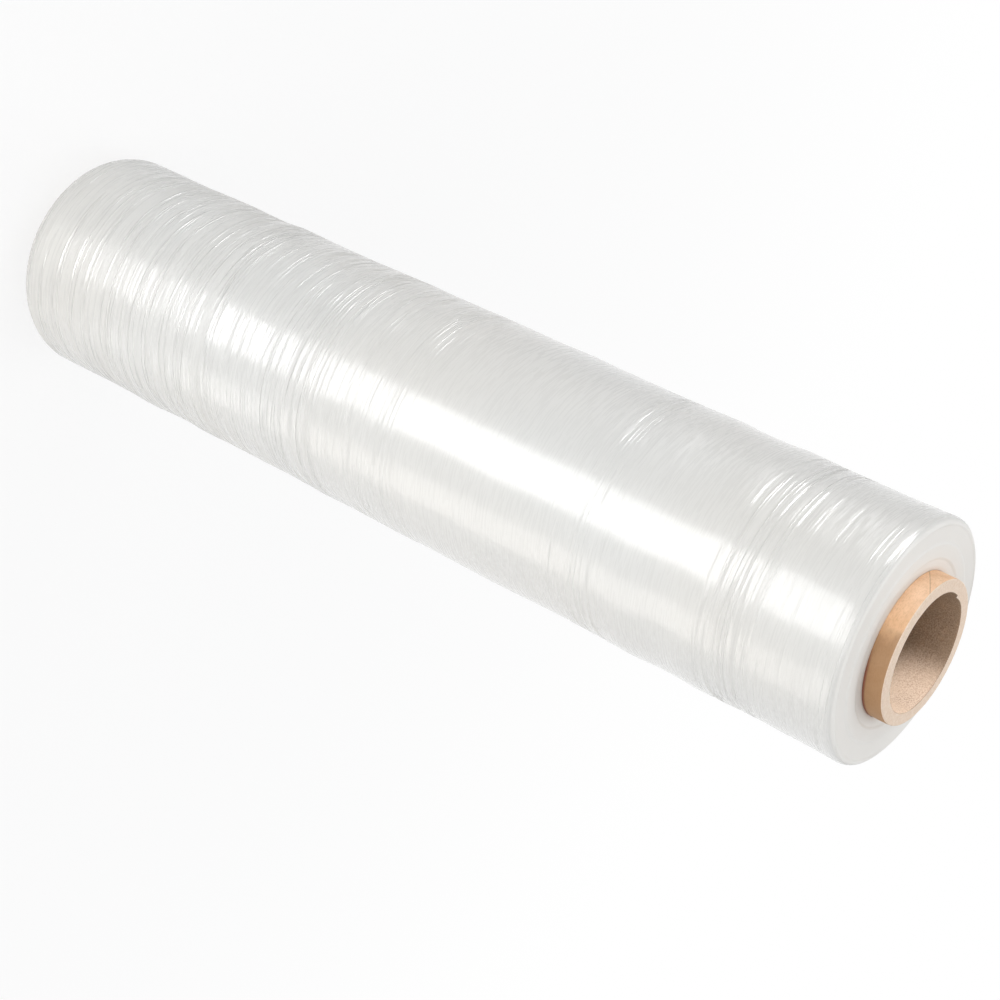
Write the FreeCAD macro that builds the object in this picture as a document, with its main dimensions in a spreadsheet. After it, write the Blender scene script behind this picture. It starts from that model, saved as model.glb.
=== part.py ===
import FreeCAD, Part
import math
import os

import Sketcher

# Stretch wrap hand roll, stood on one end of its core.
#
# A spiral-wound paperboard tube carries the whole length of film, wound so tight
# that its turns hold together as one solid. The tube stands out at both ends.
# The origin is the centre of the tube's lower rim and +Z runs along the axis.
# All sizes are in millimetres.

SIZES = {
    "core_bore": 50.0,          # clear diameter of the tube, for a handle or a mandrel
    "core_wall": 5.65,          # paperboard plies glued together
    "core_stand_out": 8.5,      # bare tube past the film, at each end
    "rim_chamfer": 0.6,         # outer corner of the cut tube, crushed by the saw
    "film_width": 457.0,        # length of the wound film along the axis
    "film_build": 21.65,        # height of the wound film over the tube
    "upper_shoulder": 3.1,      # rounding of the film at the upper end
    "lower_shoulder": 12.2,     # softer rounding at the lower end, where the turns slipped
    "band_pitch": 55.0,         # mean distance between two tight bands of film
    "band_land": 4.0,           # width of a tight band
    "band_wander": 0.2,         # how far a band strays, as a part of the pitch
    "hollow_depth": 0.6,        # deepest hollow between two bands
    "hollow_least": 0.4,        # shallowest hollow, as a part of the deepest
    "turn_slip": 0.35,          # step on an end face, where a group of turns slipped along the tube
    "inner_turns": 0.27,        # where the inner group of turns ends, as a part of the face's width
    "middle_turns": 0.62,       # where the middle group of turns ends, as a part of the face's width
}

# An uneven row that never repeats is spread by these two angles, in degrees.
GOLDEN_ANGLE = 137.5
SECOND_ANGLE = 78.0

CUT_CLEAR = 0.15                # how far a cutting section clears the film, as a part of its depth

CORE_RADIUS = "(sizes.core_bore / 2 + sizes.core_wall)"
FILM_RADIUS = "(sizes.core_bore / 2 + sizes.core_wall + sizes.film_build)"
FILM_BOTTOM = "sizes.core_stand_out"
FILM_TOP = "(sizes.core_stand_out + sizes.film_width)"
OUTER_TOP = "(sizes.core_stand_out + sizes.film_width - sizes.turn_slip)"
CORE_LENGTH = "2 * sizes.core_stand_out + sizes.film_width"


def make_sheet(doc):
    """Spreadsheet with one driving dimension on each row."""
    sheet = doc.addObject("Spreadsheet::Sheet", "sizes")
    for row, (name, value) in enumerate(SIZES.items(), start=1):
        sheet.set(f"A{row}", name)
        sheet.set(f"B{row}", str(value))
        sheet.setAlias(f"B{row}", name)
    doc.recompute()
    return sheet


def make_body(doc, name):
    body = doc.addObject("PartDesign::Body", name)
    body.Label = name
    body.Placement = FreeCAD.Placement()
    return body


def make_sketch(body, name, plane):
    """Sketch on one of the body's own origin planes. On XZ_Plane its x is the radius and its y is +Z."""
    sketch = body.newObject("Sketcher::SketchObject", name)
    origin_plane = next(item for item in body.Origin.OriginFeatures if item.Role == plane)
    sketch.AttachmentSupport = [(origin_plane, "")]
    sketch.MapMode = "FlatFace"
    return sketch


def size_of(item, expression):
    """Present value of an expression on the sheet."""
    value = item.evalExpression(expression)
    return float(getattr(value, "Value", value))


def bind(sketch, rules, formulas):
    """Add the rules of a sketch at one go, and tie each that has a formula to the sheet."""
    sketch.addConstraint(rules)
    for index, formula in enumerate(formulas):
        if formula:
            sketch.setExpression(f"Constraints[{index}]", formula)


def draw_section(sketch, corners):
    """Closed outline through the corners, each tied to the sheet.

    A corner is (x, y, radius). Where it has a radius, the way to it is a rounded
    shoulder, which turns left, and elsewhere it is straight.
    """
    points = [FreeCAD.Vector(size_of(sketch, x), size_of(sketch, y), 0) for x, y, _ in corners]
    rules = []
    formulas = []
    for index, (x, y, radius) in enumerate(corners):
        start = points[index - 1]
        end = points[index]
        if radius:
            left = FreeCAD.Vector(start.y - end.y, end.x - start.x, 0)
            circle = Part.Circle((start + end + left) / 2, FreeCAD.Vector(0, 0, 1), size_of(sketch, radius))
            sketch.addGeometry(Part.ArcOfCircle(circle, circle.parameter(start), circle.parameter(end)))
            rules.append(Sketcher.Constraint("Radius", index, size_of(sketch, radius)))
            formulas.append(radius)
        else:
            sketch.addGeometry(Part.LineSegment(start, end))
        rules.append(Sketcher.Constraint("Coincident", (index - 1) % len(corners), 2, index, 1))
        rules.append(Sketcher.Constraint("DistanceX", index, 2, points[index].x))
        rules.append(Sketcher.Constraint("DistanceY", index, 2, points[index].y))
        formulas += [None, x, y]
    bind(sketch, rules, formulas)


def draw_hollow(sketch, low, high, depth):
    """Section of one hollow in the wound side, from low to high: an arc, closed by a chord clear of the film.

    Gives the rules and formulas that tie it to the sheet.
    """
    radius = f"((({high}) - ({low}))^2 / 4 + ({depth})^2) / (2 * ({depth}))"
    height = f"(({low}) + ({high})) / 2"
    centre_out = f"{FILM_RADIUS} - ({depth}) + ({radius})"
    chord_out = f"{FILM_RADIUS} + {CUT_CLEAR} * ({depth})"

    reach = size_of(sketch, radius)
    sink = size_of(sketch, f"(1 + {CUT_CLEAR}) * ({depth})")
    half_angle = math.acos((reach - sink) / reach)
    centre = FreeCAD.Vector(size_of(sketch, centre_out), size_of(sketch, height), 0)
    circle = Part.Circle(centre, FreeCAD.Vector(0, 0, 1), reach)
    curve = Part.ArcOfCircle(circle, math.pi - half_angle, math.pi + half_angle)
    dip = sketch.addGeometry(curve)
    chord = sketch.addGeometry(Part.LineSegment(curve.EndPoint, curve.StartPoint))

    rules = [
        Sketcher.Constraint("Coincident", dip, 2, chord, 1),
        Sketcher.Constraint("Coincident", chord, 2, dip, 1),
        Sketcher.Constraint("Vertical", chord),
        Sketcher.Constraint("Radius", dip, reach),
        Sketcher.Constraint("DistanceX", dip, 3, centre.x),
        Sketcher.Constraint("DistanceY", dip, 3, centre.y),
        Sketcher.Constraint("DistanceX", chord, 1, size_of(sketch, chord_out)),
    ]
    formulas = [None, None, None, radius, centre_out, height, chord_out]
    return rules, formulas


def band_hollows(body):
    """Hollows between the tight bands of the wound side, uneven in width and in depth."""
    low = f"({FILM_BOTTOM} + sizes.lower_shoulder)"
    high = f"({OUTER_TOP} - sizes.upper_shoulder)"
    count = max(1, round(size_of(body, f"({high} - {low}) / sizes.band_pitch")))
    bands = []
    for index in range(count + 1):
        stray = f" + sizes.band_wander * sin({index * GOLDEN_ANGLE} deg)" if 0 < index < count else ""
        bands.append(f"({low} + ({high} - {low}) * ({index}{stray}) / {count})")
    hollows = []
    for index, (below, above) in enumerate(zip(bands, bands[1:])):
        share = f"(1 + sin({index * SECOND_ANGLE} deg)) / 2"
        depth = f"sizes.hollow_depth * (sizes.hollow_least + (1 - sizes.hollow_least) * {share})"
        hollows.append((f"{below} + sizes.band_land / 2", f"{above} - sizes.band_land / 2", depth))
    return hollows


def cut_hollows(doc, body):
    """Turn the hollows out of the wound side."""
    wound = body.Tip
    sketch = make_sketch(body, "hollow_sections", "XZ_Plane")
    rules = []
    formulas = []
    for low, high, depth in band_hollows(body):
        more_rules, more_formulas = draw_hollow(sketch, low, high, depth)
        rules += more_rules
        formulas += more_formulas
    bind(sketch, rules, formulas)

    groove = body.newObject("PartDesign::Groove", "hollows")
    groove.Profile = sketch
    groove.ReferenceAxis = (sketch, ["V_Axis"])
    groove.Angle = 360
    body.Tip = groove
    doc.recompute()
    if groove.Shape.Volume >= wound.Shape.Volume:
        raise RuntimeError("the hollows cut nothing")


def across_face(shoulder, share):
    """Radius at this part of an end face's width, from the tube to the shoulder."""
    return f"({CORE_RADIUS} + (sizes.film_build - sizes.{shoulder}) * sizes.{share})"


def make_wound_film(doc):
    """Every turn of film as one solid of revolution, with its bore seated on the tube.

    On the lower face the inner turns have slipped in, and on the upper one the middle turns stand out.
    """
    body = make_body(doc, "wound_film")
    section = make_sketch(body, "film_section", "XZ_Plane")
    inner_bottom = f"{FILM_BOTTOM} + sizes.turn_slip"
    slip_below = across_face("lower_shoulder", "inner_turns")
    slip_inside = across_face("upper_shoulder", "inner_turns")
    slip_outside = across_face("upper_shoulder", "middle_turns")
    draw_section(section, [
        (CORE_RADIUS, inner_bottom, None),
        (slip_below, inner_bottom, None),
        (slip_below, FILM_BOTTOM, None),
        (f"{FILM_RADIUS} - sizes.lower_shoulder", FILM_BOTTOM, None),
        (FILM_RADIUS, f"{FILM_BOTTOM} + sizes.lower_shoulder", "sizes.lower_shoulder"),
        (FILM_RADIUS, f"{OUTER_TOP} - sizes.upper_shoulder", None),
        (f"{FILM_RADIUS} - sizes.upper_shoulder", OUTER_TOP, "sizes.upper_shoulder"),
        (slip_outside, OUTER_TOP, None),
        (slip_outside, FILM_TOP, None),
        (slip_inside, FILM_TOP, None),
        (slip_inside, OUTER_TOP, None),
        (CORE_RADIUS, OUTER_TOP, None),
    ])
    turns = body.newObject("PartDesign::Revolution", "turns")
    turns.Profile = section
    turns.ReferenceAxis = (section, ["V_Axis"])
    turns.Angle = 360
    body.Tip = turns
    doc.recompute()
    cut_hollows(doc, body)
    return body


def outer_rims(shape, radius):
    """Names of the circular edges at this radius."""
    names = []
    for index, edge in enumerate(shape.Edges, start=1):
        if isinstance(edge.Curve, Part.Circle) and abs(edge.Curve.Radius - radius) < 1e-6:
            names.append(f"Edge{index}")
    return names


def make_paper_core(doc):
    """Plain tube, cut square, with its outer corners crushed."""
    body = make_body(doc, "paper_core")
    ring = make_sketch(body, "tube_ring", "XY_Plane")
    centre = FreeCAD.Vector(0, 0, 0)
    for index, radius in enumerate(("sizes.core_bore / 2", CORE_RADIUS)):
        ring.addGeometry(Part.Circle(centre, FreeCAD.Vector(0, 0, 1), size_of(ring, radius)))
        ring.addConstraint(Sketcher.Constraint("Coincident", index, 3, -1, 1))
        rule = ring.addConstraint(Sketcher.Constraint("Radius", index, size_of(ring, radius)))
        ring.setExpression(f"Constraints[{rule}]", radius)

    tube = body.newObject("PartDesign::Pad", "tube")
    tube.Profile = ring
    tube.setExpression("Length", CORE_LENGTH)
    body.Tip = tube
    doc.recompute()

    rims = body.newObject("PartDesign::Chamfer", "crushed_rims")
    rims.Base = (tube, outer_rims(tube.Shape, size_of(ring, CORE_RADIUS)))
    rims.setExpression("Size", "sizes.rim_chamfer")
    body.Tip = rims
    return body


def check_model(doc, bodies):
    """Stop on a failed feature or a sub-part that isn't one valid solid."""
    for item in doc.Objects:
        if {"Invalid", "Error"} & set(item.State):
            raise RuntimeError(f"{item.Name} failed: {item.State}")
    for body in bodies:
        shape = body.Shape
        if shape.isNull() or not shape.isValid() or len(shape.Solids) != 1:
            raise RuntimeError(f"{body.Label} is not one valid solid")
        print(body.Label, "volume", round(shape.Volume), "mm3")


def main():
    doc = FreeCAD.newDocument("stretch_wrap_roll")
    make_sheet(doc)
    bodies = [make_paper_core(doc), make_wound_film(doc)]
    doc.recompute()
    check_model(doc, bodies)
    os.makedirs("parts", exist_ok=True)
    for body in bodies:
        body.Shape.exportStep(f"parts/{body.Label}.step")


main()
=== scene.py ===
"""A hand roll of clear stretch film on its paperboard tube, stood on one end of the tube."""

import math

import bpy
from mathutils import Matrix, Vector


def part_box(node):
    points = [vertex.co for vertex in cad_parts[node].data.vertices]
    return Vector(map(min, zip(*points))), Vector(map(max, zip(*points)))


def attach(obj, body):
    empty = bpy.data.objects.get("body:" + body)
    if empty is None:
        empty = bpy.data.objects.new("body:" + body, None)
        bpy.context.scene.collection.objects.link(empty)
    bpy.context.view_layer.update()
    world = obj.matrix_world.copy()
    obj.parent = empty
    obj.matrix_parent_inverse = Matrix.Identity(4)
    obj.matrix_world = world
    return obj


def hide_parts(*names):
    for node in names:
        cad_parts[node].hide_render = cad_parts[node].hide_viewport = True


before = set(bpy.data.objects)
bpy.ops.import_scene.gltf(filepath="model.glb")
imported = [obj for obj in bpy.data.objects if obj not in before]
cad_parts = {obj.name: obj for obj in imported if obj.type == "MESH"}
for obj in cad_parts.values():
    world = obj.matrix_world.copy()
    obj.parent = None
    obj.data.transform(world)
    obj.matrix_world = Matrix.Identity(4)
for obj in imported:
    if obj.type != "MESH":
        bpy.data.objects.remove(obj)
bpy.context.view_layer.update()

bl_info = {
    "name": "Stretch wrap roll",
    "version": (1, 0, 0),
    "blender": (4, 5, 0),
    "location": "3D View > Sidebar > Wrap roll",
    "description": "Builds a roll of stretch film on its paperboard tube",
    "category": "Add Mesh",
}

MM = 0.001
CORE_LOW, CORE_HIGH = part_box("paper_core")
FILM_LOW, FILM_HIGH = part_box("wound_film")

# Sizes that the boxes of the solids don't give, in millimetres
CORE_BORE = 50.0
LOWER_SHOULDER = 12.2
UPPER_SHOULDER = 3.1
TURN_SLIP = 0.35
MIDDLE_TURNS_FROM = 35.66
MIDDLE_TURNS_TO = 42.15
INNER_TURNS_TO = 33.2

# Places along the roll where the turns drew in, each with its depth, in millimetres up from the floor
DRAWN_IN_TURNS = (
    (66.4, 0.22),
    (99.6, 0.2),
    (126.0, 0.3),
    (131.0, 0.38),
    (153.0, 0.16),
    (170.5, 0.24),
    (197.5, 0.34),
    (219.0, 0.2),
    (341.0, 0.2),
    (404.5, 0.2),
    (411.5, 0.2),
    (416.8, 0.25),
    (425.2, 0.25),
    (441.0, 0.16),
)

# How rough the winding is along the roll: millimetres up from the floor, and a share of the deepest ridges
ROUGH_WINDING = (
    (8, 0.55),
    (20, 0.75),
    (35, 0.88),
    (50, 0.85),
    (66, 0.95),
    (80, 0.85),
    (100, 0.95),
    (115, 0.82),
    (131, 1.0),
    (140, 0.6),
    (155, 0.6),
    (170, 0.75),
    (190, 0.85),
    (199, 0.8),
    (206, 0.5),
    (217, 0.62),
    (224, 0.45),
    (237, 0.6),
    (248, 0.5),
    (257, 0.1),
    (322, 0.08),
    (337, 0.6),
    (345, 0.55),
    (357, 0.4),
    (365, 0.1),
    (398, 0.1),
    (405, 0.58),
    (414, 0.7),
    (426, 0.68),
    (432, 0.45),
    (437, 0.27),
    (452, 0.24),
    (459, 0.45),
    (466, 0.8),
)


def linear(hex_colour):
    """An sRGB hex colour as linear red, green, blue and alpha."""
    channels = [int(hex_colour[i : i + 2], 16) / 255 for i in (1, 3, 5)]
    spread = [c / 12.92 if c <= 0.04045 else ((c + 0.055) / 1.055) ** 2.4 for c in channels]
    return (*spread, 1.0)


def add_node(tree, kind, settings=None, inputs=None):
    """Adds a node, sets its settings, and sets or links each input that is given."""
    node = tree.nodes.new(kind)
    for name, value in (settings or {}).items():
        setattr(node, name, value)
    for key, value in (inputs or {}).items():
        socket = node.inputs[key]
        if isinstance(value, bpy.types.NodeSocket):
            tree.links.new(value, socket)
        else:
            socket.default_value = value
    return node


class RollSizes(bpy.types.PropertyGroup):
    """Sizes of the roll that only its looks depend on."""

    turns_around: bpy.props.IntProperty(
        name="Steps around the film",
        description="Number of faces round the film",
        default=96,
        min=24,
        max=110,
    )
    ring_step: bpy.props.FloatProperty(
        name="Ring step",
        description="Distance between the rings of faces along the film",
        default=0.6 * MM,
        min=0.5 * MM,
        unit="LENGTH",
        precision=5,
    )
    ridge_depth: bpy.props.FloatProperty(
        name="Ridge depth",
        description="Depth of the ridges where the winding is roughest",
        default=0.22 * MM,
        unit="LENGTH",
        precision=5,
    )
    ridge_pitch: bpy.props.FloatProperty(
        name="Ridge pitch",
        description="Usual distance from one ridge of the winding to the next",
        default=1.7 * MM,
        unit="LENGTH",
        precision=5,
    )
    swell_depth: bpy.props.FloatProperty(
        name="Swell depth",
        description="Depth of the long low swells along the roll",
        default=0.24 * MM,
        unit="LENGTH",
        precision=5,
    )
    slip_depth: bpy.props.FloatProperty(
        name="Slip depth",
        description="How far single turns stand back on the end faces",
        default=0.06 * MM,
        unit="LENGTH",
        precision=5,
    )
    fray_depth: bpy.props.FloatProperty(
        name="Fray depth",
        description="Unevenness of the tube's cut rims",
        default=0.22 * MM,
        unit="LENGTH",
        precision=5,
    )


class RollColours(bpy.types.PropertyGroup):
    """Colours of the film and of the tube."""

    film: bpy.props.FloatVectorProperty(
        name="Film",
        description="Many clear turns on each other",
        default=linear("#DBDAD6"),
        size=4,
        min=0,
        max=1,
        subtype="COLOR",
    )
    kraft: bpy.props.FloatVectorProperty(
        name="Kraft paper",
        description="Outer ply of the tube",
        default=linear("#E6BC93"),
        size=4,
        min=0,
        max=1,
        subtype="COLOR",
    )
    cut_board: bpy.props.FloatVectorProperty(
        name="Cut board",
        description="Cut rims of the tube",
        default=linear("#EDDAC8"),
        size=4,
        min=0,
        max=1,
        subtype="COLOR",
    )
    chipboard: bpy.props.FloatVectorProperty(
        name="Chipboard",
        description="Inside of the tube",
        default=linear("#9D856E"),
        size=4,
        min=0,
        max=1,
        subtype="COLOR",
    )


def lathe(name, outline, steps, kinds):
    """A closed mesh from an outline of (radius, height) pairs turned about Z, with each band's kind of surface."""
    points = []
    for radius, height in outline:
        for step in range(steps):
            turn = 2 * math.pi * step / steps
            points.append((radius * math.cos(turn), radius * math.sin(turn), height))
    faces = []
    for ring in range(len(outline)):
        above = (ring + 1) % len(outline)
        for step in range(steps):
            beside = (step + 1) % steps
            corners = (
                ring * steps + step,
                ring * steps + beside,
                above * steps + beside,
                above * steps + step,
            )
            faces.append(corners)
    mesh = bpy.data.meshes.new(name)
    mesh.from_pydata(points, [], faces)
    surface = mesh.attributes.new("surface_kind", "INT", "FACE")
    surface.data.foreach_set("value", [kind for kind in kinds for _ in range(steps)])
    mesh.shade_smooth()
    piece = bpy.data.objects.new(name, mesh)
    bpy.context.scene.collection.objects.link(piece)
    return piece


def spread(start, end, step):
    """Values from start up to but not including end, evenly spread, about one step apart."""
    count = max(1, round(abs(end - start) / step))
    return [start + (end - start) * i / count for i in range(count)]


def corner_arc(centre_radius, centre_height, size, first, last, count):
    """Points on a rounded corner, from the first angle to before the last one, in degrees."""
    points = []
    for i in range(count):
        turn = math.radians(first + (last - first) * i / count)
        points.append(
            (centre_radius + size * math.cos(turn), centre_height + size * math.sin(turn))
        )
    return points


def hollow_bands(low, high):
    """The eight shallow hollows of the winding, as (start, end, depth), by the same rule as the solid's."""
    bands = 8
    land = 2.0
    edges = []
    for i in range(bands + 1):
        inner = 0 < i < bands
        wander = 0.2 * math.sin(math.radians(i * 137.5)) if inner else 0.0
        edges.append(low + (high - low) * (i + wander) / bands)
    hollows = []
    for i in range(bands):
        depth = 0.6 * (0.4 + 0.6 * (1 + math.sin(math.radians(i * 78.0))) / 2)
        hollows.append((edges[i] + land, edges[i + 1] - land, depth))
    return hollows


def side_radius(height, film_radius, hollows):
    """Radius of the wound side at a height: the roll's own, less the hollow and the drawn-in turns there."""
    radius = film_radius
    for start, end, depth in hollows:
        if start < height < end:
            along = (2 * height - start - end) / (end - start)
            radius -= depth * (1 - along * along)
    for place, depth in DRAWN_IN_TURNS:
        width = 0.55
        radius -= depth * math.exp(-(((height - place) / width) ** 2))
    return radius


def film_outline(core_radius, film_radius, low, high, step):
    """The film's section in millimetres, from the lower end's inner edge outwards, up and back in."""
    side_low = low + LOWER_SHOULDER
    side_high = high - UPPER_SHOULDER
    hollows = hollow_bands(side_low, side_high)
    outline = []
    for radius in spread(core_radius, film_radius - LOWER_SHOULDER, 0.5):
        outline.append((radius, low + (TURN_SLIP if radius < INNER_TURNS_TO else 0.0)))
    outline += corner_arc(
        film_radius - LOWER_SHOULDER, low + LOWER_SHOULDER, LOWER_SHOULDER, -90, 0, 26
    )
    for height in spread(side_low, side_high, step):
        outline.append((side_radius(height, film_radius, hollows), height))
    outline += corner_arc(
        film_radius - UPPER_SHOULDER, high - UPPER_SHOULDER, UPPER_SHOULDER, 0, 90, 12
    )
    for radius in spread(film_radius - UPPER_SHOULDER, core_radius, 0.5):
        stands_up = MIDDLE_TURNS_FROM < radius < MIDDLE_TURNS_TO
        outline.append((radius, high - (0.0 if stands_up else TURN_SLIP)))
    outline.append((core_radius, high - TURN_SLIP))
    return outline


def tree_for(name, sockets):
    """A Geometry Nodes tree with the named inputs, its input node, and each input's identifier."""
    tree = bpy.data.node_groups.new(name, "GeometryNodeTree")
    tree.interface.new_socket("Geometry", in_out="OUTPUT", socket_type="NodeSocketGeometry")
    tree.interface.new_socket("Geometry", in_out="INPUT", socket_type="NodeSocketGeometry")
    identifiers = {}
    for label, kind in sockets:
        socket = tree.interface.new_socket(label, in_out="INPUT", socket_type=kind)
        identifiers[label] = socket.identifier
    start = add_node(tree, "NodeGroupInput")
    return tree, start, identifiers


def close_tree(tree, geometry, materials):
    """Ends a tree in Realize Instances and a Set Material for each kind of surface."""
    ready = add_node(tree, "GeometryNodeRealizeInstances", inputs={"Geometry": geometry})
    kind = add_node(
        tree, "GeometryNodeInputNamedAttribute", {"data_type": "INT"}, {"Name": "surface_kind"}
    )
    for number, material in enumerate(materials):
        chosen = add_node(
            tree,
            "FunctionNodeCompare",
            {"data_type": "INT", "operation": "EQUAL"},
            {2: kind.outputs[0], 3: number},
        )
        ready = add_node(
            tree,
            "GeometryNodeSetMaterial",
            inputs={
                "Geometry": ready.outputs[0],
                "Selection": chosen.outputs[0],
                "Material": material,
            },
        )
    add_node(tree, "NodeGroupOutput", inputs={"Geometry": ready.outputs[0]})


def math_of(tree, operation, first, second=0.0, clamp=False):
    """One number worked out from two."""
    node = add_node(
        tree,
        "ShaderNodeMath",
        {"operation": operation, "use_clamp": clamp},
        {0: first, 1: second},
    )
    return node.outputs[0]


def uneven_winding_tree(materials):
    """Ridges round the roll where the winding is rough, low swells everywhere, and turns that slipped at the ends."""
    tree, start, identifiers = tree_for(
        "uneven_winding",
        (
            ("Core radius", "NodeSocketFloat"),
            ("Film radius", "NodeSocketFloat"),
            ("Film bottom", "NodeSocketFloat"),
            ("Film top", "NodeSocketFloat"),
            ("Ridge depth", "NodeSocketFloat"),
            ("Ridge pitch", "NodeSocketFloat"),
            ("Swell depth", "NodeSocketFloat"),
            ("Slip depth", "NodeSocketFloat"),
            ("Seed", "NodeSocketFloat"),
        ),
    )
    place = add_node(tree, "GeometryNodeInputPosition")
    parts = add_node(tree, "ShaderNodeSeparateXYZ", inputs={0: place.outputs[0]})
    across = add_node(
        tree, "ShaderNodeCombineXYZ", inputs={0: parts.outputs[0], 1: parts.outputs[1]}
    )
    outward = add_node(
        tree, "ShaderNodeVectorMath", {"operation": "NORMALIZE"}, {0: across.outputs[0]}
    )
    radius = add_node(
        tree, "ShaderNodeVectorMath", {"operation": "LENGTH"}, {0: across.outputs[0]}
    ).outputs["Value"]
    facing = add_node(tree, "ShaderNodeSeparateXYZ", inputs={0: outward.outputs[0]})

    def noise_round(pitch, drift, detail, seed_step):
        """Noise that runs round the roll, changes slowly with the angle, and fast along the roll."""
        along = math_of(tree, "DIVIDE", parts.outputs[2], pitch)
        spot = add_node(
            tree,
            "ShaderNodeCombineXYZ",
            inputs={
                0: math_of(tree, "MULTIPLY", facing.outputs[0], drift),
                1: math_of(tree, "MULTIPLY", facing.outputs[1], drift),
                2: along,
            },
        )
        node = add_node(
            tree,
            "ShaderNodeTexNoise",
            {"noise_dimensions": "4D"},
            {
                "Vector": spot.outputs[0],
                "W": math_of(tree, "ADD", start.outputs["Seed"], seed_step),
                "Scale": 1.0,
                "Detail": detail,
                "Roughness": 0.55,
            },
        )
        return node.outputs[0]

    height_share = add_node(
        tree,
        "ShaderNodeMapRange",
        inputs={
            "Value": parts.outputs[2],
            "From Min": start.outputs["Film bottom"],
            "From Max": start.outputs["Film top"],
        },
    )
    rough = add_node(tree, "ShaderNodeFloatCurve", inputs={"Value": height_share.outputs[0]})
    low, high = ROUGH_WINDING[0][0], ROUGH_WINDING[-1][0]
    curve = rough.mapping.curves[0]
    for spare in ROUGH_WINDING[2:]:
        curve.points.new(0.5, 0.5)
    for point, (height, share) in zip(curve.points, ROUGH_WINDING):
        point.location = ((height - low) / (high - low), share)
        point.handle_type = "VECTOR"
    rough.mapping.update()

    ridge = add_node(
        tree,
        "ShaderNodeMapRange",
        inputs={
            "Value": noise_round(start.outputs["Ridge pitch"], 0.9, 1.6, 0.0),
            "From Min": 0.38,
            "From Max": 0.72,
        },
    )
    ridge_cut = math_of(tree, "MULTIPLY", ridge.outputs[0], start.outputs["Ridge depth"])
    ridge_cut = math_of(tree, "MULTIPLY", ridge_cut, rough.outputs[0])
    swell = add_node(
        tree,
        "ShaderNodeMapRange",
        inputs={
            "Value": noise_round(24 * MM, 1.1, 1.0, 7.0),
            "From Min": 0.35,
            "From Max": 0.65,
        },
    )
    swell_cut = math_of(tree, "MULTIPLY", swell.outputs[0], start.outputs["Swell depth"])
    side_cut = math_of(tree, "ADD", ridge_cut, swell_cut)
    side_share = add_node(
        tree,
        "ShaderNodeMapRange",
        {"interpolation_type": "SMOOTHSTEP"},
        {
            "Value": radius,
            "From Min": math_of(tree, "SUBTRACT", start.outputs["Film radius"], 10 * MM),
            "From Max": math_of(tree, "SUBTRACT", start.outputs["Film radius"], 1.6 * MM),
        },
    )
    inward = math_of(tree, "MULTIPLY", side_cut, side_share.outputs[0])
    inward = math_of(tree, "MULTIPLY", inward, -1.0)
    side_move = add_node(
        tree, "ShaderNodeVectorMath", {"operation": "SCALE"}, {0: outward.outputs[0], "Scale": inward}
    )

    slip_spot = add_node(
        tree,
        "ShaderNodeCombineXYZ",
        inputs={
            0: math_of(tree, "MULTIPLY", facing.outputs[0], 0.5),
            1: math_of(tree, "MULTIPLY", facing.outputs[1], 0.5),
            2: math_of(tree, "DIVIDE", radius, 1.1 * MM),
        },
    )
    slip = add_node(
        tree,
        "ShaderNodeTexNoise",
        {"noise_dimensions": "3D"},
        {"Vector": slip_spot.outputs[0], "Scale": 1.0, "Detail": 1.0},
    )
    slip_cut = math_of(tree, "MULTIPLY", slip.outputs[0], start.outputs["Slip depth"])
    upper_half = math_of(tree, "GREATER_THAN", height_share.outputs[0], 0.5)
    towards_middle = math_of(tree, "MULTIPLY_ADD", upper_half, -2.0)
    towards_middle.node.inputs[2].default_value = 1.0
    end_share = math_of(tree, "SUBTRACT", 1.0, side_share.outputs[0])
    on_core = math_of(tree, "SUBTRACT", radius, start.outputs["Core radius"])
    off_core = math_of(tree, "GREATER_THAN", on_core, 0.1 * MM)
    slip_cut = math_of(tree, "MULTIPLY", slip_cut, end_share)
    slip_cut = math_of(tree, "MULTIPLY", slip_cut, off_core)
    slip_cut = math_of(tree, "MULTIPLY", slip_cut, towards_middle)
    end_move = add_node(tree, "ShaderNodeCombineXYZ", inputs={2: slip_cut})
    move = add_node(
        tree,
        "ShaderNodeVectorMath",
        {"operation": "ADD"},
        {0: side_move.outputs[0], 1: end_move.outputs[0]},
    )
    moved = add_node(
        tree,
        "GeometryNodeSetPosition",
        inputs={"Geometry": start.outputs["Geometry"], "Offset": move.outputs[0]},
    )
    marked = add_node(
        tree,
        "GeometryNodeStoreNamedAttribute",
        {"data_type": "FLOAT", "domain": "POINT"},
        {
            "Geometry": moved.outputs[0],
            "Name": "rough_winding",
            "Value": math_of(tree, "MULTIPLY", rough.outputs[0], side_share.outputs[0]),
        },
    )
    close_tree(tree, marked.outputs[0], materials)
    return tree, identifiers


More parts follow.
